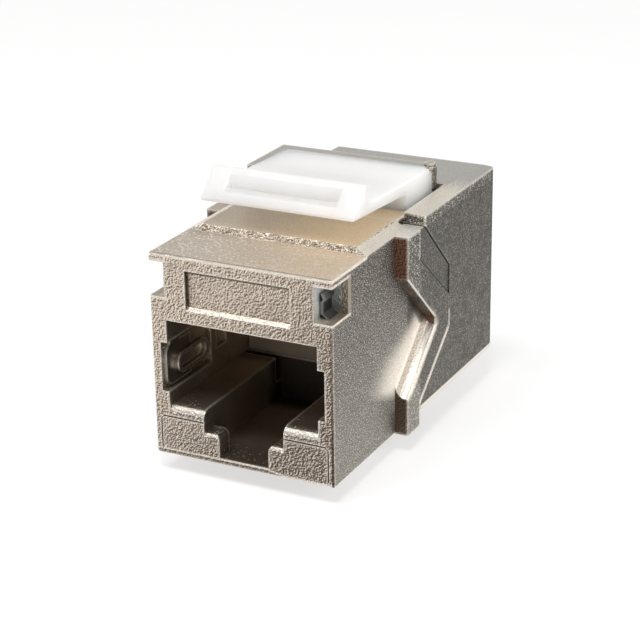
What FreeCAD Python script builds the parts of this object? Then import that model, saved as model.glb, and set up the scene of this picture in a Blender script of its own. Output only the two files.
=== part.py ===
"""In-line shielded RJ45 coupler in the keystone format, as a parametric document in millimetres.

Two die-cast halves hold a small circuit board with a contact insert on each side of it.
A white moulded latch on top snaps the coupler into a panel.
Sizes along Y are measured from the front face, sizes along Z from the underside of the nose.
"""
import FreeCAD, Part
import math
import os
import re
import Sketcher
from FreeCAD import Vector

SIZES = {
    # Whole coupler
    "depth": 27.0,
    "nose_width": 14.8,
    "nose_height": 15.85,
    "nose_depth": 12.5,
    "rear_width": 17.0,
    "rear_rise": 1.05,
    "rear_top": 16.75,
    "nose_round": 0.12,
    "rear_round": 0.35,
    # Deck under the latch
    "strip_depth": 5.6,
    "deck_top": 16.3,
    "deck_width": 12.7,
    "riser_slope": 0.4,
    # Plug port, the same at both ends
    "front_wall": 1.5,
    "port_width": 12.3,
    "port_top": 10.7,
    "port_depth": 12.0,
    "shelf_top": 4.0,
    "shelf_depth": 11.3,
    "shelf_round": 0.8,
    "well_floor": 2.0,
    "ledge_span": 6.6,
    "ledge_top": 2.3,
    "ledge_round": 0.45,
    "mouth_round": 0.12,
    "key_width": 4.1,
    "key_floor": 0.5,
    "spring_span": 13.4,
    "spring_low": 5.1,
    "spring_top": 8.95,
    "spring_room": 6.3,
    "recess_front": 7.15,
    "recess_back": 8.6,
    "recess_low": 5.95,
    "recess_depth": 0.4,
    # Nameplate recess and corner notches of the front face
    "plate_width": 8.5,
    "plate_shift": 0.19,
    "plate_low": 12.0,
    "plate_top": 14.8,
    "plate_sink": 0.3,
    "plate_slope": 0.25,
    "notch_left": 6.2,
    "notch_right": 5.95,
    "notch_low": 12.53,
    "notch_top": 15.2,
    "notch_depth": 2.5,
    "notch_step": 6.8,
    "notch_room": 2.9,
    "groove_side": 6.97,
    "groove_corner": 0.3,
    "groove_width": 0.12,
    "groove_depth": 0.1,
    "tab_front": 0.95,
    "tab_back": 2.4,
    # Chevron wings of the front half
    "wing_thick": 1.1,
    "rib_fillet": 0.9,
    "rib_round": 0.15,
    "rib_front": 10.3,
    "rib_back": 12.45,
    "rib_front_high": 12.6,
    "rib_front_low": 3.0,
    "rib_back_high": 13.56,
    "rib_back_low": 2.07,
    "tip_front": 15.4,
    "tip_front_high": 7.9,
    "tip_front_low": 7.3,
    "tip_back": 18.0,
    "tip_back_high": 9.0,
    "tip_back_low": 6.45,
    "shoulder": 13.3,
    "shoulder_low": 11.28,
    "shoulder_sink": 0.12,
    "seam": 0.05,
    "seam_slope": 0.2,
    # Bottom hook that takes the lower edge of the panel opening
    "hook_drop": 1.5,
    "hook_width": 9.6,
    "hook_front": 6.0,
    "hook_back": 8.1,
    # Latch, its pocket and the stop bar behind it
    "latch_width": 12.6,
    "lip_front": 5.55,
    "lip_low": 18.2,
    "lip_back": 8.1,
    "lip_top": 20.35,
    "lip_flat": 0.3,
    "grip_width": 9.15,
    "grip_low": 18.9,
    "grip_back": 7.4,
    "arm_top": 18.87,
    "arm_back_top": 18.44,
    "arm_low": 17.57,
    "foot_front": 14.85,
    "foot_back": 19.5,
    "foot_low": 15.3,
    "pocket_floor": 14.6,
    "latch_gap": 0.15,
    "channel_right": 6.75,
    "post_notch": 0.45,
    "latch_round": 0.14,
    "notch_round": 0.12,
    "pivot_back": 18.6,
    "pivot_up": 15.7,
    "pip_radius": 0.5,
    "pip_length": 0.5,
    "pip_play": 0.05,
    "bar_back": 20.75,
    "bar_top": 18.35,
    "bar_left": 7.25,
    "bar_right": 6.35,
    "bar_round": 0.5,
    "post_radius": 0.45,
    "post_top": 18.6,
    "edge_inner": 6.2,
    "edge_drop": 0.13,
    "edge_end_inner": 7.6,
    "edge_end_drop": 0.08,
    "corner_cut": 5.43,
    "corner_front": 24.5,
    "corner_drop": 1.0,
    # Contact inserts, board, contacts and ground springs
    "insert_width": 12.1,
    "insert_low": 4.1,
    "insert_wall": 1.0,
    "tray_front": 2.1,
    "tray_low": 10.75,
    "tray_top": 11.65,
    "board_thick": 1.0,
    "contact_pitch": 1.02,
    "contact_width": 0.36,
    "contact_thick": 0.3,
    "contact_level": 10.97,
    "contact_bend": 3.6,
    "contact_radius": 0.5,
    "contact_lean": 14.0,
    "contact_run": 5.5,
    "contact_slot": 0.46,
    "sheet_thick": 0.2,
    "spring_front": 0.45,
    "spring_back": 3.85,
    "spring_edge": 0.1,
    "spring_high": 8.5,
    "spring_corner": 0.8,
    "slot_front": 1.85,
    "slot_back": 5.6,
    "slot_low": 6.1,
    "slot_top": 7.2,
    "slot_rim": 0.3,
    "rim_rise": 0.35,
    "tab_joggle": 0.35,
    "tab_bulge": 0.2,
    "tab_bend": 13.95,
    "tab_top": 14.4,
}
CONTACTS = 8
NEAR = 0.001

os.makedirs("parts", exist_ok=True)
doc = FreeCAD.newDocument("KeystoneCoupler")
sheet = doc.addObject("Spreadsheet::Sheet", "Sizes")
for row, (alias, value) in enumerate(SIZES.items(), 1):
    sheet.set("A%d" % row, alias)
    sheet.set("B%d" % row, str(value))
    sheet.setAlias("B%d" % row, alias)
doc.recompute()


def cells(text):
    """An expression with the sheet's name written before each of its aliases."""
    return re.sub(r"[a-z]\w*", r"Sizes.\g<0>", text)


def size(text):
    """The present value of an expression on the sheet's aliases."""
    return float(sheet.evalExpression(text))


def new_body(label, rear=False):
    """A body whose own frame starts at the middle of the front face, or of the rear face turned round."""
    body = doc.addObject("PartDesign::Body", label)
    body.Label = label
    if rear:
        body.Placement.Rotation = FreeCAD.Rotation(Vector(0, 0, 1), 180)
        body.setExpression("Placement.Base.y", cells("depth / 2"))
        body.setExpression("Placement.Base.z", cells("hook_drop + rear_rise"))
    else:
        body.setExpression("Placement.Base.y", cells("-depth / 2"))
        body.setExpression("Placement.Base.z", cells("hook_drop"))
    return body


def origin_part(body, role):
    """One of the body's own origin planes or axes."""
    return next(part for part in body.Origin.OriginFeatures if part.Role == role)


def sketch_on(body, role, name, offset="0"):
    """A sketch on one of the body's origin planes, moved along that plane's normal."""
    sketch = body.newObject("Sketcher::SketchObject", name)
    sketch.AttachmentSupport = [(origin_part(body, role), "")]
    sketch.MapMode = "FlatFace"
    sketch.setExpression("AttachmentOffset.Base.z", cells(offset))
    return sketch


def pin(sketch, geometry, point, corner):
    """Binds one point of a sketch to a pair of expressions."""
    for kind, text in zip(("DistanceX", "DistanceY"), corner):
        datum = sketch.addConstraint(Sketcher.Constraint(kind, -1, 1, geometry, point, size(text)))
        sketch.setExpression("Constraints[%d]" % datum, cells(text))


def outline(sketch, corners):
    """Closes a straight-sided outline through corners given as pairs of expressions."""
    first = sketch.GeometryCount
    count = len(corners)
    points = [Vector(size(across), size(up), 0) for across, up in corners]
    for k in range(count):
        sketch.addGeometry(Part.LineSegment(points[k], points[(k + 1) % count]))
    for k in range(count):
        sketch.addConstraint(Sketcher.Constraint("Coincident", first + k, 2, first + (k + 1) % count, 1))
        pin(sketch, first + k, 1, corners[k])


def box(sketch, left, right, low, high):
    """A rectangle between four expressions."""
    outline(sketch, [(left, low), (right, low), (right, high), (left, high)])


def circle(sketch, across, up, radius):
    """A circle with its centre and radius bound to expressions."""
    centre = Vector(size(across), size(up), 0)
    geometry = sketch.addGeometry(Part.Circle(centre, Vector(0, 0, 1), size(radius)))
    pin(sketch, geometry, 3, (across, up))
    datum = sketch.addConstraint(Sketcher.Constraint("Radius", geometry, size(radius)))
    sketch.setExpression("Constraints[%d]" % datum, cells(radius))


def both_sides(half):
    """A right-hand half outline, from its top down, closed by its mirror image."""
    return half + [("-(%s)" % across, up) for across, up in reversed(half)]


def pad(body, sketch, length, reverse=False, symmetric=False):
    """Adds a prism of the sketch's outline."""
    feature = body.newObject("PartDesign::Pad", sketch.Name + "_pad")
    feature.Profile = sketch
    feature.Reversed = reverse
    feature.SideType = "Symmetric" if symmetric else "One side"
    feature.setExpression("Length", cells(length))
    doc.recompute()
    return feature


def pocket(body, sketch, length, reverse=False, symmetric=False):
    """Cuts a prism of the sketch's outline, and makes sure that it met the solid."""
    before = body.Shape.Volume
    feature = body.newObject("PartDesign::Pocket", sketch.Name + "_pocket")
    feature.Profile = sketch
    feature.Reversed = reverse
    feature.SideType = "Symmetric" if symmetric else "One side"
    feature.setExpression("Length", cells(length))
    doc.recompute()
    if body.Shape.Volume > before - NEAR:
        raise RuntimeError("%s cuts nothing" % feature.Label)
    return feature


def mirror(body, features):
    """Repeats features on the other side of the coupler's middle plane."""
    feature = body.newObject("PartDesign::Mirrored", features[-1].Name + "_mirror")
    feature.Originals = features
    feature.MirrorPlane = (origin_part(body, "YZ_Plane"), [""])
    body.Tip = feature
    doc.recompute()
    return feature


def row_of_contacts(body, feature):
    """Repeats one contact's cut for all the contacts of a port."""
    pattern = body.newObject("PartDesign::LinearPattern", feature.Name + "_row")
    pattern.Originals = [feature]
    pattern.Direction = (origin_part(body, "X_Axis"), [""])
    pattern.Occurrences = CONTACTS
    pattern.setExpression("Length", cells("contact_pitch * %d" % (CONTACTS - 1)))
    body.Tip = pattern
    doc.recompute()
    return pattern


def dress_edges(body, kind, name, width, test):
    """Dresses every edge whose two ends and middle pass a test on their position."""
    doc.recompute()
    base = body.Tip
    names = []
    for number, edge in enumerate(base.Shape.Edges, 1):
        middle = edge.valueAt((edge.FirstParameter + edge.LastParameter) / 2)
        if all(test(point) for point in [middle] + [vertex.Point for vertex in edge.Vertexes]):
            names.append("Edge%d" % number)
    feature = body.newObject("PartDesign::" + kind, "%s_%s" % (body.Name, name))
    feature.Base = (base, names)
    feature.setExpression("Radius" if kind == "Fillet" else "Size", cells(width))
    doc.recompute()
    if not names or "Invalid" in feature.State:
        raise RuntimeError("%s finds no edge" % feature.Label)
    return feature


def round_edges(body, name, radius, test):
    """Rounds the edges that pass a test."""
    return dress_edges(body, "Fillet", name, radius, test)


def slope_edges(body, name, width, test):
    """Cuts a slope of 45 degrees along the edges that pass a test."""
    return dress_edges(body, "Chamfer", name, width, test)


def at(value, text):
    """True where a coordinate is the size that an expression gives."""
    return abs(value - size(text)) < NEAR


# Plug port, cut from the front face backwards or from the rear face forwards

MOUTH = both_sides([
    ("port_width / 2", "port_top"),
    ("port_width / 2", "spring_top"),
    ("spring_span / 2", "spring_top"),
    ("spring_span / 2", "spring_low"),
    ("port_width / 2", "spring_low"),
    ("port_width / 2", "shelf_top"),
    ("ledge_span / 2", "shelf_top"),
    ("ledge_span / 2", "ledge_top"),
    ("key_width / 2", "ledge_top"),
    ("key_width / 2", "key_floor"),
])
HOLD = both_sides([
    ("port_width / 2", "port_top"),
    ("port_width / 2", "spring_top"),
    ("spring_span / 2", "spring_top"),
    ("spring_span / 2", "spring_low"),
    ("port_width / 2", "spring_low"),
    ("port_width / 2", "shelf_top"),
    ("ledge_span / 2", "shelf_top"),
    ("ledge_span / 2", "key_floor"),
])
DEEP = both_sides([
    ("port_width / 2", "port_top"),
    ("port_width / 2", "shelf_top"),
    ("ledge_span / 2", "shelf_top"),
    ("ledge_span / 2", "key_floor"),
])


def raised(corners, rise):
    """An outline moved up by an expression."""
    return [(across, "%s + %s" % (up, rise)) for across, up in corners]


def cut_port(body, face, rear, rise):
    """Cuts the mouth, the plug's hold with the springs' pockets, the walls' recesses and the tray's room."""
    inward = "+" if rear else "-"
    for name, corners, start, run in (
        ("mouth", MOUTH, "0", "front_wall"),
        ("hold", HOLD, "front_wall", "spring_room - front_wall"),
        ("deep", DEEP, "spring_room", "port_depth - spring_room"),
    ):
        sketch = sketch_on(body, "XZ_Plane", "%s_%s" % (body.Name, name), "-%s %s %s" % (face, inward, start))
        outline(sketch, raised(corners, rise))
        pocket(body, sketch, run, reverse=rear)
    sketch = sketch_on(body, "XZ_Plane", body.Name + "_tray_room", "-%s %s tray_front" % (face, inward))
    box(sketch, "-port_width / 2", "port_width / 2", "port_top - seam + %s" % rise, "tray_top + %s" % rise)
    pocket(body, sketch, "port_depth - tray_front", reverse=rear)
    ends = ("depth - recess_back", "depth - recess_front") if rear else ("recess_front", "recess_back")
    sketch = sketch_on(body, "YZ_Plane", body.Name + "_recess", "port_width / 2 - seam")
    box(sketch, *ends, "recess_low + %s" % rise, "port_top + %s" % rise)
    mirror(body, [pocket(body, sketch, "recess_depth + seam", reverse=True)])


def round_port_edges(body, face, rise):
    """Rounds the shelves' lead-in, the two small ledges that hold the plug's catch, and the mouth's top."""
    def shelf_edge(point):
        return at(point.y, face) and at(point.z, "shelf_top + %s" % rise)

    def ledge_edge(point):
        low = size("ledge_top - ledge_round + %s" % rise)
        inner = at(abs(point.x), "key_width / 2") and point.z > low
        return at(point.z, "ledge_top + %s" % rise) and (at(point.y, face) or inner)

    def mouth_edge(point):
        return at(point.y, face) and at(point.z, "port_top + %s" % rise)

    round_edges(body, "shelf_round", "shelf_round", shelf_edge)
    round_edges(body, "ledge_round", "ledge_round", ledge_edge)
    round_edges(body, "mouth_round", "mouth_round", mouth_edge)


# Front housing: die-cast nose with the chevron wings that lock it to the rear half

front = new_body("front_housing")
nose = sketch_on(front, "XZ_Plane", "nose")
box(nose, "-nose_width / 2", "nose_width / 2", "0", "nose_height")
pad(front, nose, "nose_depth", reverse=True)

deck = sketch_on(front, "XZ_Plane", "deck", "-strip_depth")
outline(deck, both_sides([
    ("deck_width / 2", "deck_top"),
    ("nose_width / 2", "nose_height"),
    ("nose_width / 2", "nose_height - seam"),
]))
pad(front, deck, "nose_depth - strip_depth", reverse=True)

rib = sketch_on(front, "YZ_Plane", "rib", "nose_width / 2 - seam")
outline(rib, [
    ("rib_front", "nose_height"),
    ("rib_front", "rib_front_high"),
    ("tip_front", "tip_front_high"),
    ("tip_front", "tip_front_low"),
    ("rib_front", "rib_front_low"),
    ("rib_front", "0"),
    ("rib_back", "0"),
    ("rib_back", "rib_back_low"),
    ("tip_back", "tip_back_low"),
    ("tip_back", "tip_back_high"),
    ("rib_back", "rib_back_high"),
    ("rib_back", "nose_height"),
])
rib_pad = pad(front, rib, "wing_thick + seam")

shoulder = sketch_on(front, "YZ_Plane", "shoulder_plate", "nose_width / 2 - seam")
outline(shoulder, [
    ("rib_back - seam", "nose_height"),
    ("rib_back - seam", "rib_back_high - seam"),
    ("tip_back", "tip_back_high - seam"),
    ("tip_back", "shoulder_low"),
    ("shoulder", "nose_height"),
])
shoulder_pad = pad(front, shoulder, "wing_thick + seam - shoulder_sink")

web = sketch_on(front, "YZ_Plane", "wing_web", "spring_span / 2 + seam")
outline(web, [
    ("rib_back", "nose_height"),
    ("rib_back", "rib_back_low"),
    ("tip_back", "tip_back_low"),
    ("tip_back", "shoulder_low"),
    ("shoulder", "nose_height"),
])
web_pad = pad(front, web, "(nose_width - spring_span) / 2 - seam")
mirror(front, [rib_pad, shoulder_pad, web_pad])


def lower_diagonal(point):
    """True along the foot of the rib's lower slope, where it meets the flank."""
    slope = size("(tip_front_low - rib_front_low) / (tip_front - rib_front)")
    height = size("rib_front_low") + slope * (point.y - size("rib_front"))
    on_flank = at(abs(point.x), "nose_width / 2")
    return on_flank and abs(point.z - height) < NEAR and point.y < size("tip_front") + NEAR


def rib_edge(point):
    """True along the front outline of a rib's outer face, and along its top and bottom ends."""
    outer = at(abs(point.x), "nose_width / 2 + wing_thick")
    ahead = point.y < size("tip_front") + NEAR and (point.y < size("rib_back") - NEAR or in_chevron(point))
    return outer and ahead


def in_chevron(point):
    """True between the two slopes of the rib's front outline."""
    share = (point.y - size("rib_front")) / size("tip_front - rib_front")
    high = size("rib_front_high") + share * size("tip_front_high - rib_front_high")
    low = size("rib_front_low") + share * size("tip_front_low - rib_front_low")
    return low - NEAR < point.z < high + NEAR


def nose_edge(point):
    """True round the front face and along the nose's long edges, as far as the step and the ribs."""
    side = at(abs(point.x), "nose_width / 2")
    below = at(point.z, "0") and point.y < size("rib_front") + NEAR
    above = at(point.z, "nose_height") and point.y < size("strip_depth") + NEAR
    return (side and (above or below)) or (at(point.y, "0") and (side or above or below))


def riser_edge(point):
    """True along the top of the step from the front strip up to the deck."""
    return at(point.y, "strip_depth") and at(point.z, "deck_top")


round_edges(front, "rib_fillet", "rib_fillet", lower_diagonal)
round_edges(front, "rib_round", "rib_round", rib_edge)
slope_edges(front, "riser_slope", "riser_slope", riser_edge)
round_edges(front, "nose_round", "nose_round", nose_edge)

hook = sketch_on(front, "YZ_Plane", "hook")
outline(hook, [
    ("hook_front", "seam"),
    ("hook_back", "seam"),
    ("hook_back", "-hook_drop"),
    ("(hook_front + hook_back) / 2", "-hook_drop"),
    ("hook_front", "-hook_drop / 4"),
])
pad(front, hook, "hook_width", symmetric=True)

cut_port(front, "0", False, "0")
well = sketch_on(front, "XZ_Plane", "well", "-shelf_depth")
box(well, "-port_width / 2", "port_width / 2", "well_floor", "shelf_top + seam")
pocket(front, well, "port_depth - shelf_depth")
insert_way = sketch_on(front, "XZ_Plane", "insert_way", "-port_depth")
box(insert_way, "-port_width / 2", "port_width / 2", "insert_low - seam", "tray_top")
pocket(front, insert_way, "nose_depth - port_depth")

nameplate = sketch_on(front, "XZ_Plane", "nameplate")
box(nameplate, "-plate_width / 2 - plate_shift", "plate_width / 2 - plate_shift", "plate_low", "plate_top")
pocket(front, nameplate, "plate_sink")


def plate_edge(point):
    """True along the lower edge of the nameplate recess."""
    return at(point.y, "0") and at(point.z, "plate_low")


slope_edges(front, "plate_slope", "plate_slope", plate_edge)

for name, end, depth in (
    ("corner_notches", "(nose_width / 2 + seam)", "notch_depth"),
    ("notch_rooms", "notch_step", "notch_room"),
):
    notches = sketch_on(front, "XZ_Plane", name)
    box(notches, "notch_right", end, "notch_low", "notch_top")
    box(notches, "-notch_left", "-" + end, "notch_low", "notch_top")
    pocket(front, notches, depth)

tab_slots = sketch_on(front, "XY_Plane", "tab_slots", "notch_low + seam")
for side in ("", "-"):
    box(
        tab_slots,
        side + "(spring_span / 2 - sheet_thick - seam)",
        side + "spring_span / 2",
        "tab_front - seam",
        "tab_back + seam",
    )
pocket(front, tab_slots, "notch_low - spring_top + 2 * seam")

round_port_edges(front, "0", "0")

grooves = sketch_on(front, "XZ_Plane", "mould_grooves")
groove_top = "shelf_top - shelf_round - seam"
for side in ("", "-"):
    outline(grooves, [
        (side + "ledge_span / 2", groove_top),
        (side + "(groove_side - groove_corner)", groove_top),
        (side + "groove_side", groove_top + " - groove_corner"),
        (side + "groove_side", "groove_width * 3"),
        (side + "(groove_side - groove_width)", "groove_width * 3"),
        (side + "(groove_side - groove_width)", groove_top + " - groove_corner"),
        (side + "(groove_side - groove_corner)", groove_top + " - groove_width"),
        (side + "ledge_span / 2", groove_top + " - groove_width"),
    ])
pocket(front, grooves, "groove_depth")

# Rear housing: die-cast box with the latch's pocket, the stop bar and the second port

back = new_body("rear_housing")
block = sketch_on(back, "XZ_Plane", "rear_block", "-nose_depth")
box(block, "-rear_width / 2", "rear_width / 2", "rear_rise", "rear_top")
pad(back, block, "depth - nose_depth", reverse=True)

flat_ends = []
for name, place, inner, drop in (
    ("edge_flat_front", "nose_depth", "edge_inner", "edge_drop"),
    ("edge_flat_rear", "depth", "edge_end_inner", "edge_end_drop"),
):
    flat_end = sketch_on(back, "XZ_Plane", name, "-(%s)" % place)
    outline(flat_end, [
        (inner, "rear_top"),
        ("rear_width / 2", "rear_top"),
        ("rear_width / 2", "rear_top - " + drop),
    ])
    flat_ends.append(flat_end)
edge_flat = back.newObject("PartDesign::SubtractiveLoft", "edge_flat")
edge_flat.Profile = flat_ends[0]
edge_flat.Sections = [flat_ends[1]]
edge_flat.Ruled = True
doc.recompute()
mirror(back, [edge_flat])


def rear_edge(point):
    """True along the upright edges of the rear face and round the sides and rear of the underside."""
    side = at(abs(point.x), "rear_width / 2")
    under = at(point.z, "rear_rise")
    return (side and under) or (at(point.y, "depth") and (side or under))


round_edges(back, "rear_round", "rear_round", rear_edge)

dovetail = sketch_on(back, "YZ_Plane", "dovetail", "rear_width / 2")
outline(dovetail, [
    ("nose_depth - seam", "rear_top + seam"),
    ("shoulder + seam", "rear_top + seam"),
    ("shoulder + seam", "nose_height + seam"),
    ("tip_back + seam", "shoulder_low + seam"),
    ("tip_back + seam", "tip_back_low - seam"),
    ("rib_back + seam", "rib_back_low - seam"),
    ("rib_back + seam", "rear_rise - seam"),
    ("nose_depth - seam", "rear_rise - seam"),
])
mirror(back, [pocket(back, dovetail, "(rear_width - spring_span) / 2 + seam")])


def seam_edge(point):
    """True along the outer edge of the seam under a wing's lower slope."""
    share = (point.y - size("rib_back + seam")) / size("tip_back - rib_back")
    height = size("rib_back_low - seam") + share * size("tip_back_low - rib_back_low")
    return at(abs(point.x), "rear_width / 2") and abs(point.z - height) < NEAR


slope_edges(back, "seam_slope", "seam_slope", seam_edge)

channel = sketch_on(back, "XY_Plane", "latch_channel", "rear_top")
outline(channel, [
    ("-nose_width / 2", "nose_depth - seam"),
    ("nose_width / 2", "nose_depth - seam"),
    ("nose_width / 2", "shoulder + seam"),
    ("channel_right", "shoulder + seam"),
    ("channel_right", "bar_back + latch_gap"),
    ("latch_width / 2 - post_notch", "bar_back + latch_gap"),
    ("latch_width / 2 - post_notch", "foot_back + latch_gap"),
    ("-latch_width / 2 - latch_gap", "foot_back + latch_gap"),
    ("-latch_width / 2 - latch_gap", "shoulder + seam"),
    ("-nose_width / 2", "shoulder + seam"),
])
pocket(back, channel, "rear_top - deck_top")

foot_well = sketch_on(back, "XY_Plane", "foot_pocket", "deck_top")
box(
    foot_well,
    "-latch_width / 2 - latch_gap",
    "latch_width / 2 + latch_gap",
    "foot_front - latch_gap",
    "foot_back + latch_gap",
)
pocket(back, foot_well, "deck_top - pocket_floor")

corner = sketch_on(back, "XY_Plane", "corner_cut", "rear_top")
box(corner, "-rear_width / 2 - seam", "-corner_cut", "corner_front", "depth + seam")
pocket(back, corner, "corner_drop")

bar = sketch_on(back, "XY_Plane", "stop_bar", "deck_top")
outline(bar, [
    ("-bar_left", "foot_front - latch_gap"),
    ("-latch_width / 2 - latch_gap", "foot_front - latch_gap"),
    ("-latch_width / 2 - latch_gap", "foot_back + latch_gap"),
    ("bar_right", "foot_back + latch_gap"),
    ("bar_right", "bar_back"),
    ("-bar_left", "bar_back"),
])
pad(back, bar, "bar_top - deck_top")


def bar_end(point):
    """True along the two upright edges of the bar's free end."""
    faces = at(point.y, "foot_back + latch_gap") or at(point.y, "bar_back")
    return faces and at(point.x, "bar_right") and point.z > size("deck_top") - NEAR


round_edges(back, "bar_round", "bar_round", bar_end)

post = sketch_on(back, "XY_Plane", "post", "deck_top")
circle(post, "bar_right - bar_round", "(foot_back + latch_gap + bar_back) / 2", "post_radius")
pad(back, post, "post_top - deck_top")

pivot_holes = sketch_on(back, "YZ_Plane", "pivot_holes")
circle(pivot_holes, "pivot_back", "pivot_up", "pip_radius + pip_play")
pocket(back, pivot_holes, "latch_width + 2 * pip_length + 4 * pip_play", symmetric=True)

cut_port(back, "depth", True, "rear_rise")
board_well = sketch_on(back, "XZ_Plane", "board_well", "-nose_depth")
box(board_well, "-port_width / 2", "port_width / 2", "insert_low", "tray_top + rear_rise")
pocket(back, board_well, "depth - port_depth - nose_depth")
round_port_edges(back, "depth", "rear_rise")

# Latch: one white moulding, a lip with a finger notch on a springy arm and a foot in the deck's pocket

latch = new_body("keystone_latch")
profile = sketch_on(latch, "YZ_Plane", "latch_profile")
outline(profile, [
    ("lip_front", "lip_low"),
    ("lip_back - lip_flat", "lip_top"),
    ("lip_back", "lip_top"),
    ("lip_back", "arm_top"),
    ("foot_back", "arm_back_top"),
    ("foot_back", "foot_low"),
    ("foot_front", "foot_low"),
    ("foot_front", "arm_low"),
])
pad(latch, profile, "latch_width", symmetric=True)

pips = sketch_on(latch, "YZ_Plane", "pivot_pips")
circle(pips, "pivot_back", "pivot_up", "pip_radius")
pad(latch, pips, "latch_width + 2 * pip_length", symmetric=True)

grip = sketch_on(latch, "YZ_Plane", "finger_notch")
outline(grip, [
    ("lip_front", "grip_low"),
    ("grip_back", "grip_low"),
    ("grip_back", "lip_top - seam"),
    ("lip_front", "lip_top - seam"),
])
pocket(latch, grip, "grip_width", symmetric=True)


def latch_edge(point):
    """True round the side outlines of the lip and arm, and along the lip's front and top."""
    side = at(abs(point.x), "latch_width / 2") and point.z > size("arm_low") - NEAR
    return side or at(point.z, "lip_top") or at(point.y, "lip_front")


def notch_edge(point):
    """True round the mouth of the finger notch, on the lip's slope."""
    share = (point.y - size("lip_front")) / size("lip_back - lip_flat - lip_front")
    slope = size("lip_low") + share * size("lip_top - lip_low")
    return abs(point.x) < size("grip_width / 2") + NEAR and abs(point.z - slope) < NEAR and share > NEAR


round_edges(latch, "notch_round", "notch_round", notch_edge)
round_edges(latch, "latch_round", "latch_round", latch_edge)

post_room = sketch_on(latch, "XY_Plane", "post_room", "arm_top")
box(
    post_room,
    "latch_width / 2 - post_notch",
    "latch_width / 2 + seam",
    "foot_back - post_notch",
    "foot_back + seam",
)
pocket(latch, post_room, "arm_top - arm_back_top + post_notch")

# Contact inserts: a back wall for the board and a slotted tray along the top of the port


def contact_place(number):
    """The offset of a contact, counted from 1, from the middle of its port."""
    return "contact_pitch * %s" % (number - (CONTACTS + 1) / 2)


def make_insert(label, rear):
    insert = new_body(label, rear)
    section = sketch_on(insert, "YZ_Plane", label + "_section")
    outline(section, [
        ("tray_front", "tray_low"),
        ("port_depth", "tray_low"),
        ("port_depth", "insert_low"),
        ("port_depth + insert_wall", "insert_low"),
        ("port_depth + insert_wall", "tray_top"),
        ("tray_front", "tray_top"),
    ])
    pad(insert, section, "insert_width", symmetric=True)
    slot = sketch_on(insert, "XZ_Plane", label + "_slot", "-tray_front")
    place = contact_place(1)
    box(
        slot,
        place + " - contact_slot / 2",
        place + " + contact_slot / 2",
        "tray_low - seam",
        "contact_level + contact_thick / 2",
    )
    row_of_contacts(insert, pocket(insert, slot, "port_depth + insert_wall - tray_front"))
    return insert


# Circuit board between the inserts, with a row of slots for each port's contacts


def make_board():
    board = new_body("circuit_board")
    plate = sketch_on(board, "XZ_Plane", "board_plate", "-port_depth - insert_wall")
    box(plate, "-insert_width / 2", "insert_width / 2", "insert_low", "tray_top + rear_rise")
    pad(board, plate, "board_thick", reverse=True)
    slots = sketch_on(board, "XZ_Plane", "board_slots", "-port_depth - insert_wall")
    place = contact_place(1)
    for level in ("contact_level", "contact_level + rear_rise"):
        box(
            slots,
            place + " - contact_slot / 2",
            place + " + contact_slot / 2",
            level + " - contact_slot / 2",
            level + " + contact_thick / 2",
        )
    row_of_contacts(board, pocket(board, slots, "board_thick"))
    return board


# Contacts: flat spring wires that leave the board, turn back near the mouth and lean into the port


def make_contact(label, number, rear):
    contact = new_body(label, rear)
    place = contact_place(number)
    tail = ("port_depth + insert_wall + board_thick - 2 * seam", "contact_level")
    bend = ("contact_bend", "contact_level")
    radius = size("contact_radius")
    lean = math.radians(size("contact_lean"))
    tail_point, bend_point = [Vector(size(along), size(up), 0) for along, up in (tail, bend)]
    turn = Part.Circle(bend_point - Vector(0, radius, 0), Vector(0, 0, 1), radius)
    arc = Part.ArcOfCircle(turn, math.pi / 2, math.pi * 3 / 2 - lean)
    leaf_end = arc.EndPoint + Vector(math.cos(lean), -math.sin(lean), 0) * size("contact_run")

    path = sketch_on(contact, "YZ_Plane", label + "_path", place)
    straights = Part.LineSegment(tail_point, bend_point), Part.LineSegment(arc.EndPoint, leaf_end)
    path.addGeometry([straights[0], arc, straights[1]])
    pin(path, 0, 1, tail)
    pin(path, 0, 2, bend)
    path.addConstraint(Sketcher.Constraint("Tangent", 0, 2, 1, 1))
    path.addConstraint(Sketcher.Constraint("Tangent", 1, 2, 2, 1))
    for kind, geometry, value, text in (
        ("Radius", 1, radius, cells("contact_radius")),
        ("Distance", 2, size("contact_run"), cells("contact_run")),
        ("Angle", 2, -lean, cells("-contact_lean") + " * 1 deg"),
    ):
        datum = path.addConstraint(Sketcher.Constraint(kind, geometry, value))
        path.setExpression("Constraints[%d]" % datum, text)

    wire = sketch_on(contact, "XZ_Plane", label + "_wire", "-(%s)" % tail[0])
    box(
        wire,
        place + " - contact_width / 2",
        place + " + contact_width / 2",
        "contact_level - contact_thick / 2",
        "contact_level + contact_thick / 2",
    )
    bent = contact.newObject("PartDesign::AdditivePipe", label + "_bent")
    bent.Profile = wire
    bent.Spine = path
    doc.recompute()
    return contact


# Ground springs: stamped plates in the port's side pockets, each with a slot whose drawn rim meets the plug


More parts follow.
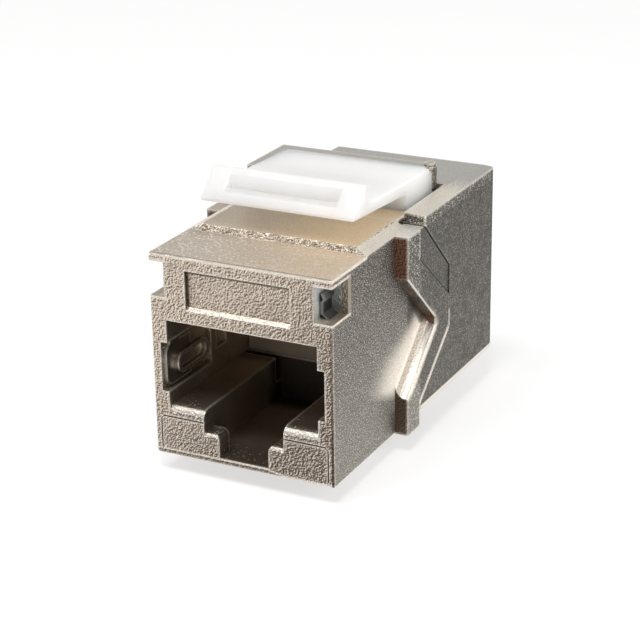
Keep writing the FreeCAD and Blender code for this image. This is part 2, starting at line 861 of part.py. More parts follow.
def make_spring(label, side, rear):
    """A spring on the side given by a sign; the front ones also reach up into the corner notch."""
    spring = new_body(label, rear)
    outward = side == ""
    outer = side + "(spring_span / 2)"
    inner = side + "(spring_span / 2 - sheet_thick)"
    raised_face = side + "(spring_span / 2 - sheet_thick - rim_rise)"
    plate = sketch_on(spring, "YZ_Plane", label + "_plate", inner)
    box(plate, "spring_front", "spring_back", "spring_low + spring_edge", "spring_high")
    pad(spring, plate, "sheet_thick", reverse=not outward)
    rim = sketch_on(spring, "YZ_Plane", label + "_rim", raised_face)
    box(rim, "slot_front - slot_rim", "slot_back + slot_rim", "slot_low - slot_rim", "slot_top + slot_rim")
    pad(spring, rim, "sheet_thick + rim_rise", reverse=not outward)
    slot = sketch_on(spring, "YZ_Plane", label + "_slot", raised_face)
    box(slot, "slot_front", "slot_back", "slot_low", "slot_top")
    pocket(spring, slot, "sheet_thick + rim_rise", reverse=outward)

    def plate_corner(point):
        end = at(point.z, "spring_low + spring_edge") or at(point.z, "spring_high")
        return end and at(point.y, "spring_front")

    def rim_corner(point):
        end = at(point.y, "slot_front - slot_rim") or at(point.y, "slot_back + slot_rim")
        return end and (at(point.z, "slot_low - slot_rim") or at(point.z, "slot_top + slot_rim"))

    def slot_corner(point):
        end = at(point.y, "slot_front") or at(point.y, "slot_back")
        return end and (at(point.z, "slot_low") or at(point.z, "slot_top"))

    round_edges(spring, "corner", "spring_corner", plate_corner)
    round_edges(spring, "rim_end", "(slot_top - slot_low) / 2 + slot_rim - seam", rim_corner)
    round_edges(spring, "slot_end", "(slot_top - slot_low) / 2 - seam", slot_corner)

    if not rear:
        wall = "notch_right" if outward else "notch_left"
        tab_inner = side + "(%s + seam)" % wall
        tab_outer = side + "(%s + seam + sheet_thick)" % wall
        tab = sketch_on(spring, "XZ_Plane", label + "_tab", "-tab_front")
        outline(tab, [
            (inner, "spring_high - sheet_thick"),
            (outer, "spring_high - sheet_thick"),
            (outer, "notch_low"),
            (tab_outer, "notch_low + tab_joggle"),
            (tab_outer, "tab_bend - tab_bulge"),
            (side + "(%s + seam + sheet_thick + tab_bulge)" % wall, "tab_bend"),
            (tab_outer, "tab_top"),
            (tab_inner, "tab_top"),
            (side + "(%s + seam + tab_bulge)" % wall, "tab_bend"),
            (tab_inner, "tab_bend - tab_bulge"),
            (tab_inner, "notch_low + tab_joggle"),
            (inner, "notch_low"),
        ])
        pad(spring, tab, "tab_back - tab_front", reverse=True)
    return spring


make_insert("front_contact_carrier", False)
make_insert("rear_contact_carrier", True)
make_board()
for end, rear in (("front", False), ("rear", True)):
    for number in range(1, CONTACTS + 1):
        make_contact("%s_contact_%d" % (end, number), number, rear)
    for hand, side in (("left", "" if rear else "-"), ("right", "-" if rear else "")):
        make_spring("%s_%s_shield_spring" % (end, hand), side, rear)

doc.recompute()
parts = [thing for thing in doc.Objects if thing.TypeId == "PartDesign::Body"]
for thing in doc.Objects:
    if "Invalid" in thing.State or "Error" in thing.State:
        raise RuntimeError("%s failed: %s" % (thing.Label, thing.State))
for part in parts:
    if part.Shape.isNull() or not part.Shape.isValid():
        raise RuntimeError("%s has no valid shape" % part.Label)
for part in parts:
    part.Shape.exportStep("parts/%s.step" % part.Label)
    print(part.Label, part.Shape.BoundBox, round(part.Shape.Volume, 2), len(part.Shape.Solids))
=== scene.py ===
"""Looks of an in-line shielded keystone coupler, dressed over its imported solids, in metres."""
import math

import bmesh
import bpy
from mathutils import Matrix, Vector


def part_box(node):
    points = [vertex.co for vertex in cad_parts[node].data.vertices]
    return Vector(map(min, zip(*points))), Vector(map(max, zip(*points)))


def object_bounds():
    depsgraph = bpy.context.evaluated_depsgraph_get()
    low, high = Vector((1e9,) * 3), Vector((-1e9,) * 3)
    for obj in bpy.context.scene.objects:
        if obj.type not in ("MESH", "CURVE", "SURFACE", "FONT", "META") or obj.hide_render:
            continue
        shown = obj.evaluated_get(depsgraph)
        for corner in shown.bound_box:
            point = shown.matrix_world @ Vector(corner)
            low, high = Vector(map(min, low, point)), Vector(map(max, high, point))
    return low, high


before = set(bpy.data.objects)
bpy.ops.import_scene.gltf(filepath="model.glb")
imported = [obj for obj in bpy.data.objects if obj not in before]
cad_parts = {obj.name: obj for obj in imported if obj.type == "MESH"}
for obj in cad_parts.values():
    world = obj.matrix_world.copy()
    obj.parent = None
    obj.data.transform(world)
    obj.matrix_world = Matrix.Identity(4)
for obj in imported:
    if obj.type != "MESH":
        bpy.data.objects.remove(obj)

solid_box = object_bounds()

# Front half: a zinc die casting with a satin nickel plating, the nose that goes through the panel.
# Its front keeps the coarse grain of the eroded die and its flanks a finer one; the deck is almost smooth.
# Edges and ledges carry painted highlights, and the port and the corners at the wings carry painted shade.

MM = 0.001


class Field:
    """A value that changes over a surface: the output socket of one of a material's nodes."""

    def __init__(self, socket):
        self.socket = socket

    def node(self, kind, settings=None, inputs=None, output=0):
        """Adds a node to the same material, sets it up, feeds its sockets and gives one of its outputs."""
        tree = self.socket.id_data
        node = tree.nodes.new("ShaderNode" + kind)
        for name, value in (settings or {}).items():
            setattr(node, name, value)
        for name, value in (inputs or {}).items():
            feed(node.inputs[name], value)
        return Field(node.outputs[output])

    def math(self, operation, *values):
        return self.node("Math", {"operation": operation}, dict(enumerate(values)))

    def __add__(self, other):
        return self.math("ADD", self, other)

    def __sub__(self, other):
        return self.math("SUBTRACT", self, other)

    def __rsub__(self, other):
        return self.math("SUBTRACT", other, self)

    def __mul__(self, other):
        return self.math("MULTIPLY", self, other)

    def __abs__(self):
        return self.math("ABSOLUTE", self)

    __radd__ = __add__
    __rmul__ = __mul__

    def most(self, other):
        """The larger of two values."""
        return self.math("MAXIMUM", self, other)

    def rise(self, low, high):
        """0 below low, 1 above high, and a smooth step between them; high may be the lower one."""
        return self.node(
            "MapRange",
            {"interpolation_type": "SMOOTHSTEP"},
            {"Value": self, "From Min": low, "From Max": high},
        )

    def window(self, start, full, fall, end):
        """0 up to start, 1 from full to fall and 0 from end on, with smooth steps between them."""
        return self.rise(start, full) * self.rise(end, fall)

    def blend(self, first, second):
        """A colour that goes from first to second as this value goes from 0 to 1."""
        return self.node("Mix", {"data_type": "RGBA"}, {"Factor": self, "A": first, "B": second}, "Result")

    def axes(self):
        """The three parts of a vector."""
        split = self.node("SeparateXYZ", inputs={"Vector": self}).socket.node
        return [Field(split.outputs[name]) for name in "XYZ"]

    def spot(self):
        """The three parts of a place, turned into millimetres."""
        return [part * (1 / MM) for part in self.axes()]

    def grain(self, pitch, detail=2.0):
        """Soft noise from 0 to 1 at this place, in lumps about one pitch in millimetres across."""
        inputs = {"Vector": self, "Scale": 1 / (pitch * MM), "Detail": detail}
        return self.node("TexNoise", inputs=inputs, output="Fac")

    def specks(self, pitch, share):
        """1 in round specks at this place, about one pitch in millimetres apart; only a share shows."""
        cells = self.node("TexVoronoi", inputs={"Vector": self, "Scale": 1 / (pitch * MM)})
        away = Field(cells.socket.node.outputs["Distance"])
        chance = Field(cells.socket.node.outputs["Color"]).axes()[0]
        return chance.rise(1 - share, 1 - share + 0.02) * away.rise(0.5, 0.25)

    def closeness(self, reach, inside):
        """Lower than 1 where the piece's own surface is within reach: in corners, or inside along edges."""
        settings = {"inside": inside, "only_local": True, "samples": 4}
        return self.node("AmbientOcclusion", settings, {"Distance": reach * MM}, "AO")

    def bump(self, height):
        """A normal for a surface whose height is this value times height in millimetres."""
        return self.node("Bump", inputs={"Height": self, "Distance": height * MM}, output="Normal")


def feed(socket, value):
    """Links a field to a socket, or sets a plain value on it."""
    if isinstance(value, Field):
        socket.id_data.links.new(value.socket, socket)
    elif hasattr(socket.default_value, "__len__") and len(socket.default_value) == 4:
        socket.default_value = (*value, 1)
    else:
        socket.default_value = value


def new_finish(name):
    """An empty material with its shader, the place on the piece and the way its surface faces."""
    material = bpy.data.materials.new(name)
    material.use_nodes = True
    shader = material.node_tree.nodes["Principled BSDF"]
    place = Field(shader.outputs[0]).node("TexCoord", output="Object")
    facing = Field(place.socket.node.outputs["Normal"])
    return material, shader, place, facing


def dress(shader, **values):
    """Feeds the shader's sockets, named with underscores for spaces."""
    for name, value in values.items():
        feed(shader.inputs[name.replace("_", " ")], value)


def cover(material, *nodes):
    """Gives solids their finish."""
    for node in nodes:
        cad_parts[node].data.materials.clear()
        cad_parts[node].data.materials.append(material)


# Levels and faces of the two castings, in millimetres
nose_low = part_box("front_housing")[0]
rear_low, rear_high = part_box("rear_housing")
FRONT_FACE = nose_low.y / MM
REAR_FACE = rear_high.y / MM
REAR_BOTTOM = rear_low.z / MM
NOSE_UNDERSIDE = 1.5
NOSE_TOP = 17.35
NOSE_SIDE = 7.4
DECK_FRONT = -7.9
DECK_HALF = 6.35
DECK_TOP = 17.8
WING_FRONT = -1.1
WING_MIDDLE = 9.0
PLATE_LOW, PLATE_TOP = 13.0, 16.3
PLATE_LEFT, PLATE_HALF = -4.44, 5.0
SLANT_FADE, SLANT_END = 5.0, 10.0
COARSE_DEPTH = 8.0
MIDDLE_DEPTH = 8.0

# Grain of the die: pitch, height, the offset and steepness of its painted light and shade, and the reach of
# painted edge highlights
GRAIN = 0.16
GRAIN_HEIGHT = 0.05
GRAIN_LIGHT = (-0.035 * MM, 0, 0.035 * MM)
GRAIN_SLOPE = 0.09
FINE_GRAIN = 0.095
EDGE = 0.22

# Soft foot before the rib's low slope: the slope's start, lean and end, the foot's size, its painted
# highlight's reach
SLOPE_LOW = (-3.2, 4.5)
SLOPE_LEAN = math.radians(40.1)
SLOPE_FADE, SLOPE_END = 6.2, 7.6
FOOT_HEIGHT = 2.0
FOOT_HALF = 4.5
GLOW_LOW, GLOW_HIGH = 5.2, 2.6


class CastSurface:
    """A point on a casting: its place in millimetres, the way it faces, its zone and its grain."""

    def __init__(self, place, facing, depth_in):
        self.place = place
        self.across, self.along, self.up = place.spot()
        self.aside = abs(self.across)
        self.behind = depth_in(self.along)
        to_right, to_back, self.lean = facing.axes()
        self.sideways = abs(to_right)
        self.endways = abs(to_back)
        self.find_zones()
        self.find_grain()
        self.find_foot()

    def find_zones(self):
        """Masks by place and facing that several layers of the finish share."""
        self.upward = self.lean.rise(0.8, 0.95)
        self.flank = self.sideways.rise(0.5, 0.9)
        self.low = self.up.rise(NOSE_TOP, NOSE_TOP - 0.1)
        self.wing = self.along.rise(WING_FRONT, WING_FRONT + 0.4) * self.low
        self.deck = self.along.rise(DECK_FRONT, DECK_FRONT + 0.1)
        self.band = self.aside.rise(DECK_HALF, DECK_HALF + 0.1)
        self.middle = self.behind.rise(MIDDLE_DEPTH, MIDDLE_DEPTH + 1)
        near_face = self.behind.rise(COARSE_DEPTH + 0.5, COARSE_DEPTH - 0.5)
        self.coarse = near_face * (1 - self.upward) * (1 - self.flank)
        self.front = self.coarse * self.along.rise(FRONT_FACE + 0.2, FRONT_FACE + 0.1)
        self.ledge = self.lean.rise(0.2, 0.5) * self.endways.rise(0.2, 0.4) * (1 - self.upward) * self.low
        self.slant = self.sideways.rise(0.03, 0.06) * self.lean.rise(0.7, 0.85)
        self.slant = self.slant * self.along.rise(SLANT_END, SLANT_FADE)
        sunk = self.behind.window(0.02, 0.06, 0.36, 0.42) * self.aside.rise(PLATE_HALF, PLATE_HALF - 0.1)
        self.plate = sunk * self.up.window(PLATE_LOW, PLATE_LOW + 0.2, PLATE_TOP + 0.05, PLATE_TOP + 0.1)
        # Painted shade: rises from the front's upper left towards its lower right, where the front is
        # painted darker.
        self.painted_dimming = (self.across * (1 / 16) - self.up * (1 / 14) + 1.1).rise(-0.3, 1.1)

    def find_grain(self):
        """The die's lumps with painted light and shade on their sides, painted fine glints and painted edge
        highlights.
        """
        self.lumps = self.place.grain(GRAIN, 1.0)
        # Painted light and shade: each lump is painted light on its upper left side and dark on its lower
        # right, as if lit.
        shifted = self.place.node("Mapping", inputs={"Vector": self.place, "Location": GRAIN_LIGHT})
        lit = self.lumps - shifted.grain(GRAIN, 1.0)
        self.lit_grain = lit.rise(0.0, GRAIN_SLOPE)
        self.shaded_grain = lit.rise(0.0, -GRAIN_SLOPE)
        self.fine = self.place.grain(FINE_GRAIN).rise(0.53, 0.67)
        self.rough = self.coarse + 0.6 * self.slant
        spared = 0.8 * self.wing * self.up.rise(WING_MIDDLE, WING_MIDDLE + 0.3)
        self.edge = self.place.closeness(EDGE, True).rise(0.95, 0.55) * (1 - spared)

    def find_foot(self):
        """The wide soft foot before the rib's low slope: how it swells, and where a highlight is painted on
        it.
        """
        past = self.along - SLOPE_LOW[0]
        over = self.up - SLOPE_LOW[1]
        run = past * math.cos(SLOPE_LEAN) + over * math.sin(SLOPE_LEAN)
        off = over * math.cos(SLOPE_LEAN) - past * math.sin(SLOPE_LEAN)
        beside = self.flank * self.aside.rise(NOSE_SIDE + 0.5, NOSE_SIDE + 0.1)
        self.swell = beside * run.window(-1.2, 0.8, SLOPE_FADE, SLOPE_END) * off.rise(FOOT_HALF, -FOOT_HALF)
        reach = GLOW_LOW + (GLOW_HIGH - GLOW_LOW) * run.rise(0, 6)
        glow = self.sideways.rise(0.05, 0.3) * run.rise(SLOPE_END, SLOPE_FADE) * off.rise(reach, 0.8)
        self.glow = glow * off.rise(-0.6, -0.2) * (over + 0.35 * past).rise(-0.4, 0.7)


# Base tones; the flank, wing, top, shoulder, front and corner tones carry painted light and shade.
FLANK_LOW, FLANK_HIGH = (0.225, 0.215, 0.19), (0.084, 0.082, 0.074)
WING_SHADE = (0.062, 0.06, 0.053)
COOL_STRIP, WARM_STRIP = (0.60, 0.545, 0.48), (0.86, 0.72, 0.555)
COOL_DECK, WARM_DECK = (0.60, 0.54, 0.46), (0.88, 0.74, 0.535)
SHOULDER_HIGHLIGHT = (0.97, 0.95, 0.91)
REAR_TOP = (0.53, 0.53, 0.51)
RISER = (0.37, 0.305, 0.225)
FRONT_LIT, FRONT_SHADED = (0.64, 0.53, 0.42), (0.135, 0.105, 0.082)
CORNER_SHADE = (0.20, 0.095, 0.058)
FRONT_EDGE = 7.05


def plated(cast):
    """Base tones with painted light: shaded flanks, a pale lit top, and a front shaded towards its lower
    right.
    """
    # Painted shade: the flanks darken upwards, and more on the wings behind.
    tone = cast.up.rise(2, 17).blend(FLANK_LOW, FLANK_HIGH)
    tone = (0.7 * cast.wing).blend(tone, WING_SHADE)
    # Painted reflection: the top is pale, lighter and warmer to the right, with a painted highlight on the
    # band beside the deck.
    rightward = cast.across.rise(-7, 5)
    top = cast.deck.blend(rightward.blend(COOL_STRIP, WARM_STRIP), rightward.blend(COOL_DECK, WARM_DECK))
    top = (cast.deck * cast.band * cast.across.rise(0, 1)).blend(top, SHOULDER_HIGHLIGHT)
    top = (cast.up - DECK_TOP).rise(0.1, 0.2).blend(top, REAR_TOP)
    tone = cast.upward.blend(tone, top)
    riser = cast.band.blend(RISER, COOL_STRIP)
    # Painted shade: the front darkens towards its lower right.
    front = cast.painted_dimming.blend(FRONT_LIT, FRONT_SHADED)
    tone = cast.coarse.blend(tone, cast.low.blend(riser, front))
    # Painted shade: a dark line down the front's right edge.
    right_edge = cast.front * cast.across.rise(FRONT_EDGE, FRONT_EDGE + 0.1)
    return (0.8 * right_edge).blend(tone, CORNER_SHADE)


# A dark tone for random blotches and painted shade, one for painted shade, and two for painted highlights.
MOTTLE_AND_PAINTED_SHADE = (0.07, 0.056, 0.044)
FRONT_PAINTED_SHADE = (0.085, 0.058, 0.042)
FRONT_SHINE = (0.95, 0.86, 0.75)
PAINTED_HIGHLIGHT = (0.95, 0.89, 0.80)
SPARK_PITCH, SPARK_SHARE = 0.24, 0.35
BLOTCH = 0.8


def grained(tone, cast):
    """Adds the grain's painted light and shade where coarse, painted glints where fine, and sparks on the
    strip.
    """
    tone = (cast.shaded_grain * (0.12 + 0.75 * cast.rough)).blend(tone, FRONT_PAINTED_SHADE)
    riser = cast.coarse * (1 - cast.low)
    shine = 0.05 + (0.85 - 0.2 * cast.painted_dimming) * cast.rough - riser * (0.35 + 0.35 * cast.band)
    tone = (cast.lit_grain * shine).blend(tone, FRONT_SHINE)
    glint = 0.74 - 0.64 * cast.coarse - 0.44 * cast.wing - 0.69 * cast.deck * cast.upward
    tone = (cast.fine * glint).blend(tone, PAINTED_HIGHLIGHT)
    sparks = cast.place.specks(SPARK_PITCH, SPARK_SHARE) * cast.upward * (1 - cast.deck)
    tone = sparks.blend(tone, PAINTED_HIGHLIGHT)
    blotches = cast.place.grain(BLOTCH).rise(0.52, 0.36) * cast.flank * cast.along.rise(3, 8)
    return (0.4 * blotches).blend(tone, MOTTLE_AND_PAINTED_SHADE)


CORNER = 1.2
LEG_FRONT = -3.0
LEG_MIDDLE = 10.0
# Painted reflection on the legs' fronts: dark, and lighter and redder higher up.
LEG_LOW, LEG_HIGH = (0.15, 0.11, 0.08), (0.29, 0.15, 0.095)
LEG_PAINTED_SHADE = (0.06, 0.035, 0.025)


def shaded_rib(tone, cast):
    """Adds painted warm shade in the corners beside the rib and painted dark reflections on its two upright
    legs.
    """
    corner = cast.place.closeness(CORNER, False).rise(0.96, 0.62) * (1 - cast.flank) * cast.middle * cast.low
    corner = corner * cast.lean.rise(0.3, 0.1) * (1 - 0.55 * cast.lean.rise(-0.3, -0.7))
    tone = (0.95 * corner).blend(tone, CORNER_SHADE)
    leg = cast.endways.rise(0.8, 0.95) * cast.along.rise(LEG_FRONT + 0.3, LEG_FRONT) * cast.middle
    leg = leg * cast.low * (1 - cast.flank) * cast.across.rise(-9, 7)
    leg_tone = cast.up.rise(LEG_MIDDLE - 1, LEG_MIDDLE + 1).blend(LEG_LOW, LEG_HIGH)
    return leg.blend(tone, cast.shaded_grain.blend(leg_tone, LEG_PAINTED_SHADE))


def highlighted_ledges(tone, cast):
    """Paints highlights on ledges, lower edges and the band beside the deck, and shade dots at the band's
    edge.
    """
    lower_edge = cast.sideways.rise(0.2, 0.4).most(cast.endways.rise(0.2, 0.4) * cast.behind.rise(1.0, 0.5))
    lower_edge = lower_edge * cast.lean.rise(-0.1, -0.25)
    bright = cast.ledge * (0.6 - 0.1 * cast.plate) + 0.75 * cast.slant + 0.7 * lower_edge
    tone = bright.blend(tone, PAINTED_HIGHLIGHT)
    dots = cast.slant * cast.shaded_grain * (cast.aside - DECK_HALF).rise(0.16, 0.08)
    return (0.8 * dots).blend(tone, FRONT_PAINTED_SHADE)


SHELF_TOP = 5.6
NOTCH_IN, NOTCH_STEP = 5.93, 6.8
NOTCH_LOW, NOTCH_TOP = 14.02, 16.72
NOTCH_BACK_WALL = -10.5
NOTCH_MIDDLE = (NOTCH_LOW + NOTCH_TOP) / 2
NOTCH_REACH = (NOTCH_TOP - NOTCH_LOW) / 2


def lined(tone, cast):
    """Adds painted shade as dark lines in nameplate, grooves, notch and top, and painted highlights along
    edges.
    """
    plate_line = cast.across.rise(PLATE_LEFT + 0.25, PLATE_LEFT + 0.12)
    plate_line = cast.plate * plate_line.most(cast.up.rise(PLATE_TOP - 0.31, PLATE_TOP - 0.23))
    over_line = cast.up - (NOSE_UNDERSIDE + 0.42) + 0.27 * cast.across.rise(1.5, 3.5)
    foot_line = cast.front * over_line.rise(-0.05, -0.12)
    foot_light = cast.front * abs(over_line).rise(0.10, 0.05)
    groove = cast.endways.rise(0.97, 0.99) * cast.behind.window(0.04, 0.08, 0.15, 0.2)
    groove = groove * cast.up.rise(SHELF_TOP, SHELF_TOP - 0.1)
    beyond = abs(cast.up - NOTCH_MIDDLE) - NOTCH_REACH
    jamb = cast.front * (cast.across - NOTCH_IN).window(-0.2, -0.1, 0, 0.02) * beyond.rise(0.02, -0.02)
    sill = cast.aside.rise(NOTCH_IN - 0.1, NOTCH_IN) * beyond.window(-0.05, 0, 0.14, 0.24)
    sill = sill * cast.along.rise(NOTCH_BACK_WALL, NOTCH_BACK_WALL - 0.1) * (1 - cast.upward)
    rim = (cast.up - NOSE_TOP).window(-0.30, -0.17, 0.02, 0.06)
    rim = rim * (cast.coarse + cast.flank) * (1 - cast.deck)

    dark = 0.8 * plate_line + 0.5 * foot_line + 0.7 * groove + 0.7 * jamb
    tone = dark.blend(tone, FRONT_PAINTED_SHADE)
    bright = (foot_light + sill) * (0.5 + 0.5 * cast.lit_grain) + rim * (0.75 + 0.25 * cast.lit_grain)
    tone = bright.blend(tone, FRONT_SHINE)
    brow = cast.upward * (1 - cast.deck) * cast.behind.rise(0.26, 0.16)
    return (0.55 * brow).blend(tone, FRONT_SHADED)


CREASE_TOP = (-1.05, 15.06)
CREASE_END = 4.5
CREASE_LEAN = math.radians(39.4)
CREASE_SHADE = (0.015, 0.014, 0.012)
ARRIS = 7.24


def edge_light_and_shade(tone, cast):
    """Paints highlights on the rib's foot, rear hem and edges, and shade on the right arris; darkens the
    crease.
    """
    tone = (cast.glow * (0.85 + 0.15 * cast.fine)).blend(tone, PAINTED_HIGHLIGHT)
    hem = cast.flank * cast.wing * (cast.up - REAR_BOTTOM).window(0.20, 0.30, 0.50, 0.60)
    tone = (0.85 * hem).blend(tone, PAINTED_HIGHLIGHT)
    pitted = cast.shaded_grain * (cast.glow + cast.ledge * (1 - cast.coarse))
    tone = (0.15 * pitted).blend(tone, FRONT_PAINTED_SHADE)
    tone = (cast.edge * (0.6 + 0.4 * cast.lit_grain)).blend(tone, PAINTED_HIGHLIGHT)

    past = cast.along - CREASE_TOP[0]
    over = cast.up - CREASE_TOP[1]
    crease = abs(past * math.sin(CREASE_LEAN) + over * math.cos(CREASE_LEAN)).rise(0.13, 0.07)
    crease = crease * cast.along.window(CREASE_TOP[0] - 0.1, CREASE_TOP[0], CREASE_END, CREASE_END + 0.1)
    crease = crease * (cast.aside - NOSE_SIDE).rise(0.4, 0.5)
    arris = cast.front * cast.across.rise(ARRIS - 0.08, ARRIS) * (NOTCH_LOW - cast.up).rise(0.2, 0.4)
    arris = arris * (0.85 - 0.35 * cast.up.rise(3, 13))
    return (0.9 * crease + arris).blend(tone, CREASE_SHADE)


# Painted light: pale notch walls and a duller back wall.
NOTCH_WALL, NOTCH_BACK = (0.62, 0.64, 0.61), (0.36, 0.32, 0.26)


def notched(tone, cast):
    """Tones the corner notches with painted light: bright walls, and a duller one at the back."""
    notch = cast.aside.rise(NOTCH_IN, NOTCH_IN + 0.02) * cast.behind.rise(0.05, 0.15)
    notch = notch * cast.up.window(NOTCH_LOW, NOTCH_LOW + 0.02, NOTCH_TOP - 0.02, NOTCH_TOP)
    notch = notch * cast.along.rise(NOTCH_BACK_WALL, NOTCH_BACK_WALL - 0.02)
    return notch.blend(tone, cast.aside.rise(NOTCH_STEP, NOTCH_STEP + 0.05).blend(NOTCH_WALL, NOTCH_BACK))


PORT_HALF, PORT_TOP = 6.8, 12.3
MOUTH_SHADE, PORT_SHADE = (0.17, 0.14, 0.105), (0.50, 0.415, 0.32)
WELL_START, WELL_FULL = 9.5, 11.2
WELL_SHADE = (0.10, 0.085, 0.07)
GLITTER_PITCH, GLITTER_SHARE = 0.16, 0.12


def shaded_port(tone, cast):
    """Paints the port's shade, dullest at mouth and well, and painted light on its lower walls, edges and
    glints.
    """
    inside = cast.aside.rise(PORT_HALF, PORT_HALF - 0.05) * cast.up.rise(PORT_TOP, PORT_TOP - 0.05)
    walls = inside * (cast.flank + cast.upward) * cast.behind.rise(0, 0.25)
    dark = (inside * cast.behind.rise(0.5, 1.3)).most(walls)
    lower = cast.up.rise(SHELF_TOP, SHELF_TOP - 0.2)
    tone = dark.blend(tone, cast.behind.rise(1, 6).blend(MOUTH_SHADE, PORT_SHADE))
    # Painted shade on the port's floor, darker towards the front.
    tone = (0.3 * dark * cast.upward * cast.behind.rise(9, 5)).blend(tone, MOTTLE_AND_PAINTED_SHADE)
    # The port's lower side walls take the riser's tone from 2 mm in, as painted light.
    tone = (0.5 * dark * cast.flank * cast.behind.rise(2, 5) * lower).blend(tone, RISER)
    tone = (0.3 * dark * cast.fine * cast.behind.rise(2.2, 0.3)).blend(tone, PAINTED_HIGHLIGHT)
    tone = (inside * cast.behind.rise(WELL_START, WELL_FULL) * lower).blend(tone, WELL_SHADE)
    tone = (0.75 * cast.edge * dark).blend(tone, PAINTED_HIGHLIGHT)
    glitter = dark * cast.place.specks(GLITTER_PITCH, GLITTER_SHARE) * cast.behind.rise(4.0, 1.2)
    return (0.8 * glitter).blend(tone, PAINTED_HIGHLIGHT)


def cast_finish(name, depth_in):
    """One half's plating; depth_in turns a place along the coupler into the depth behind the port's face."""
    material, shader, place, facing = new_finish(name)
    cast = CastSurface(place, facing, depth_in)
    tone = plated(cast)
    for layer in (grained, shaded_rib, highlighted_ledges, lined, edge_light_and_shade, notched, shaded_port):
        tone = layer(tone, cast)
    relief = 0.08 + 0.92 * cast.rough - 0.6 * cast.coarse * cast.ledge + 0.2 * cast.glow
    relief = 2.2 * cast.lumps * relief + 0.15 * cast.fine + cast.swell * (FOOT_HEIGHT / GRAIN_HEIGHT)
    satin = 0.48 + 0.12 * place.grain(2.5, 3.0)
    dress(
        shader,
        Base_Color=tone,
        Metallic=1.0,
        Roughness=satin - cast.coarse * (0.20 - 0.14 * cast.ledge) - 0.06 * cast.ledge * (1 - cast.coarse),
        Normal=relief.bump(GRAIN_HEIGHT),
    )
    return material


def behind_front(along):
    """The depth behind the front port's face."""
    return along - FRONT_FACE


cover(cast_finish("front_casting", behind_front), "front_housing")

# Rear half: the wider zinc casting that slides over the dovetail wings of the front one.
# It is plated the same way and takes the latch's foot in a pocket of its top.


def behind_rear(along):
    """The depth behind the rear port's face."""
    return REAR_FACE - along


cover(cast_finish("rear_casting", behind_rear), "rear_housing")

# Latch: a white moulding, a little translucent, with the soft satin of a polished mould.
# Its foot sits in the rear half's pocket and its arm bends when the lip is pressed.

LATCH_CREAM, LATCH_WHITE = (0.80, 0.795, 0.78), (0.84, 0.838, 0.828)
LIGHT_DEPTH = 5.0

material, shader, place, facing = new_finish("white_moulding")
satin = place.grain(0.25, 3.0)
dress(
    shader,
    Base_Color=place.grain(3.0).blend(LATCH_CREAM, LATCH_WHITE),
    Roughness=0.34 + 0.12 * satin,
    Subsurface_Weight=1.0,
    Subsurface_Radius=(1.0, 0.93, 0.85),
    Subsurface_Scale=LIGHT_DEPTH * MM,
    Normal=satin.bump(0.004),
)
cover(material, "keystone_latch")

# Contact inserts: mouldings that guide the spring wires and close the ports inwards.
# They are moulded in a matt brown heat-proof plastic and drop into the halves from the joint.

INSERT_DARK, INSERT_LIGHT = (0.33, 0.265, 0.205), (0.40, 0.33, 0.26)

material, shader, place, facing = new_finish("dark_moulding")
texture = place.grain(0.12, 3.0)
dress(
    shader,
    Base_Color=place.grain(1.5).blend(INSERT_DARK, INSERT_LIGHT),
    Roughness=0.42 + 0.2 * texture,
    Normal=texture.bump(0.012),
)
cover(material, "front_contact_carrier", "rear_contact_carrier")

# Circuit board: a glass laminate plate with a green solder mask, between the two inserts.
# Its traces stand out faintly under the mask and join each front contact to its rear one.

TRACE_PITCH = 1.02
MASK_DARK, MASK_LIGHT = (0.012, 0.10, 0.035), (0.03, 0.19, 0.07)

material, shader, place, facing = new_finish("solder_mask")
waves = place.spot()[0] * (2 * math.pi / TRACE_PITCH)
trace = waves.math("SINE", waves).rise(-0.2, 0.2)
dress(
    shader,
    Base_Color=trace.blend(MASK_DARK, MASK_LIGHT),
    Roughness=0.28 + 0.15 * place.grain(0.2),
    Normal=trace.bump(0.02),
)
cover(material, "circuit_board")

# Contacts: flat spring wires of phosphor bronze with a thin gold plating.
# They are drawn and bent, so fine lines run along them, and they sit in the inserts' slots.

GOLD_DARK, GOLD_LIGHT = (0.62, 0.42, 0.15), (0.88, 0.66, 0.30)

material, shader, place, facing = new_finish("gold_wire")
drawn = place.node("Mapping", inputs={"Vector": place, "Scale": (1, 0.04, 1)})
lines = drawn.grain(0.03)
dress(
    shader,
    Base_Color=lines.blend(GOLD_DARK, GOLD_LIGHT),
    Metallic=1.0,
    Roughness=0.20 + 0.18 * lines,
    Normal=lines.bump(0.003),
)
for end in ("front", "rear"):
    cover(material, *["%s_contact_%d" % (end, number) for number in range(1, 9)])

# Ground springs: stamped from a plated spring strip and pressed into the ports' side pockets.
# The rolling lines of the strip run along the coupler, and its sheared edges carry a painted highlight.
# The tab that shows in the corner notch is dull.

STRIP_DARK, STRIP_LIGHT = (0.29, 0.26, 0.217), (0.43, 0.39, 0.33)
TAB_SHADE = (0.085, 0.09, 0.10)
SPRING_EDGE_HIGHLIGHT = (1.0, 0.97, 0.92)
TAB_LOW, TAB_TOP = 13.6, 16.2

material, shader, place, facing = new_finish("spring_strip")
rolled = place.node("Mapping", inputs={"Vector": place, "Scale": (1, 0.05, 1)})
lines = rolled.grain(0.05, 3.0)
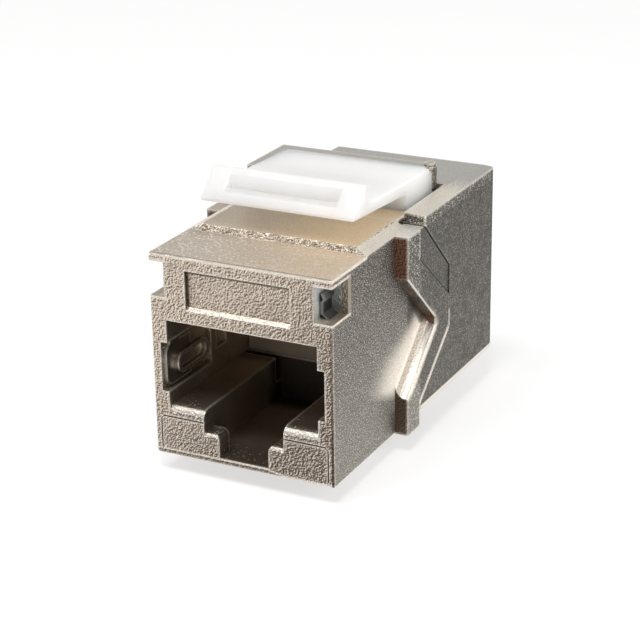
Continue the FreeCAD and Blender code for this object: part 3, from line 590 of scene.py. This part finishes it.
# Painted highlight along the spring's edges.
edge = place.closeness(0.20, True).rise(0.95, 0.65)
tab = place.spot()[2].window(TAB_LOW, TAB_LOW + 0.2, TAB_TOP - 0.2, TAB_TOP)
strip = tab.blend(lines.blend(STRIP_DARK, STRIP_LIGHT), TAB_SHADE)
dress(
    shader,
    Base_Color=(edge * (1 - 0.8 * tab)).blend(strip, SPRING_EDGE_HIGHLIGHT),
    Metallic=1.0,
    Roughness=0.26 + 0.16 * lines,
    Normal=lines.bump(0.004),
)
for end in ("front", "rear"):
    cover(material, *["%s_%s_shield_spring" % (end, hand) for hand in ("left", "right")])

# Table: a pale backlit sheet under the coupler that runs well past the picture.
# It glows white by itself, so that the lamps on the coupler can stay low and its shadow still shows.

TABLE_HALF = 1.5
TABLE_DARK, TABLE_LIGHT = (0.40, 0.40, 0.40), (0.42, 0.42, 0.42)
TABLE_GLOW = 0.62

sheet = bmesh.new()
bmesh.ops.create_grid(sheet, x_segments=1, y_segments=1, size=TABLE_HALF)
mesh = bpy.data.meshes.new("table")
sheet.to_mesh(mesh)
sheet.free()
table = bpy.data.objects.new("table", mesh)
bpy.context.scene.collection.objects.link(table)
material, shader, place, facing = new_finish("table_paper")
dress(
    shader,
    Base_Color=place.grain(20.0).blend(TABLE_DARK, TABLE_LIGHT),
    Roughness=0.9,
    Specular_IOR_Level=0.1,
    Emission_Color=(1.0, 1.0, 1.0),
    Emission_Strength=TABLE_GLOW,
)
mesh.materials.append(material)

# Studio: three soft boxes, a key from the front left, one from above and a large one from the right.
# The room round them is pale behind the coupler, dim behind the camera and dim overhead.

OBJECT_MIDDLE = (solid_box[0] + solid_box[1]) / 2
ROOM_BACK = (1.18, 1.13, 1.06)
ROOM_FRONT = (0.25, 0.25, 0.26)
ROOM_CEILING = (0.30, 0.30, 0.31)


def towards(azimuth, elevation):
    """The direction from the coupler to a lamp or camera; azimuth 0 is in front and 90 to the right."""
    turn, lift = math.radians(azimuth), math.radians(elevation)
    return Vector((math.sin(turn) * math.cos(lift), -math.cos(turn) * math.cos(lift), math.sin(lift)))


def soft_box(name, azimuth, elevation, distance, side, watts):
    """A square area lamp that faces the coupler."""
    lamp = bpy.data.lights.new(name, "AREA")
    lamp.size = side
    lamp.energy = watts
    holder = bpy.data.objects.new(name, lamp)
    way = towards(azimuth, elevation)
    holder.location = OBJECT_MIDDLE + way * distance
    holder.rotation_euler = way.to_track_quat("Z", "Y").to_euler()
    bpy.context.scene.collection.objects.link(holder)


soft_box("key_box", azimuth=-30, elevation=62, distance=0.40, side=0.12, watts=0.45)
soft_box("top_box", azimuth=15, elevation=68, distance=0.45, side=0.12, watts=0.8)
soft_box("side_box", azimuth=80, elevation=25, distance=0.40, side=0.25, watts=0.45)

world = bpy.data.worlds.new("room")
world.use_nodes = True
room = world.node_tree.nodes["Background"]
away, height = Field(room.outputs[0]).node("TexCoord", output="Generated").axes()[1:]
wall = away.rise(0.1, -0.6).blend(ROOM_BACK, ROOM_FRONT)
feed(room.inputs["Color"], height.rise(0.25, 0.75).blend(wall, ROOM_CEILING))
bpy.context.scene.world = world
bpy.context.scene.view_settings.view_transform = "Standard"

# Camera: where the photograph was taken from, found from the coupler's own edges in it.
# Its place is given from the middle of the nose's lower front edge, along its own axes.

PHOTO_SIDE = 640
FOCAL_PIXELS = 1897
SENSOR = 36.0
AZIMUTH, ELEVATION, ROLL = 27.17, 21.47, -0.94
ASIDE, ABOVE, AWAY = 5.55 * MM, 10.96 * MM, 139.1 * MM

back = towards(AZIMUTH, ELEVATION)
level = Vector((0, 0, 1)).cross(back).normalized()
upright = back.cross(level)
turn = Matrix.Rotation(math.radians(ROLL), 3, back)
right, top = turn @ level, turn @ upright
camera_data = bpy.data.cameras.new("photo_camera")
camera_data.sensor_width = SENSOR
camera_data.lens = SENSOR * FOCAL_PIXELS / PHOTO_SIDE
camera_data.clip_start = 0.01
camera = bpy.data.objects.new("photo_camera", camera_data)
origin = Vector((0, nose_low.y, NOSE_UNDERSIDE * MM))
spot = origin + right * ASIDE + top * ABOVE + back * AWAY
camera.matrix_world = Matrix.Translation(spot) @ Matrix((right, top, back)).transposed().to_4x4()
bpy.context.scene.collection.objects.link(camera)
bpy.context.scene.camera = camera
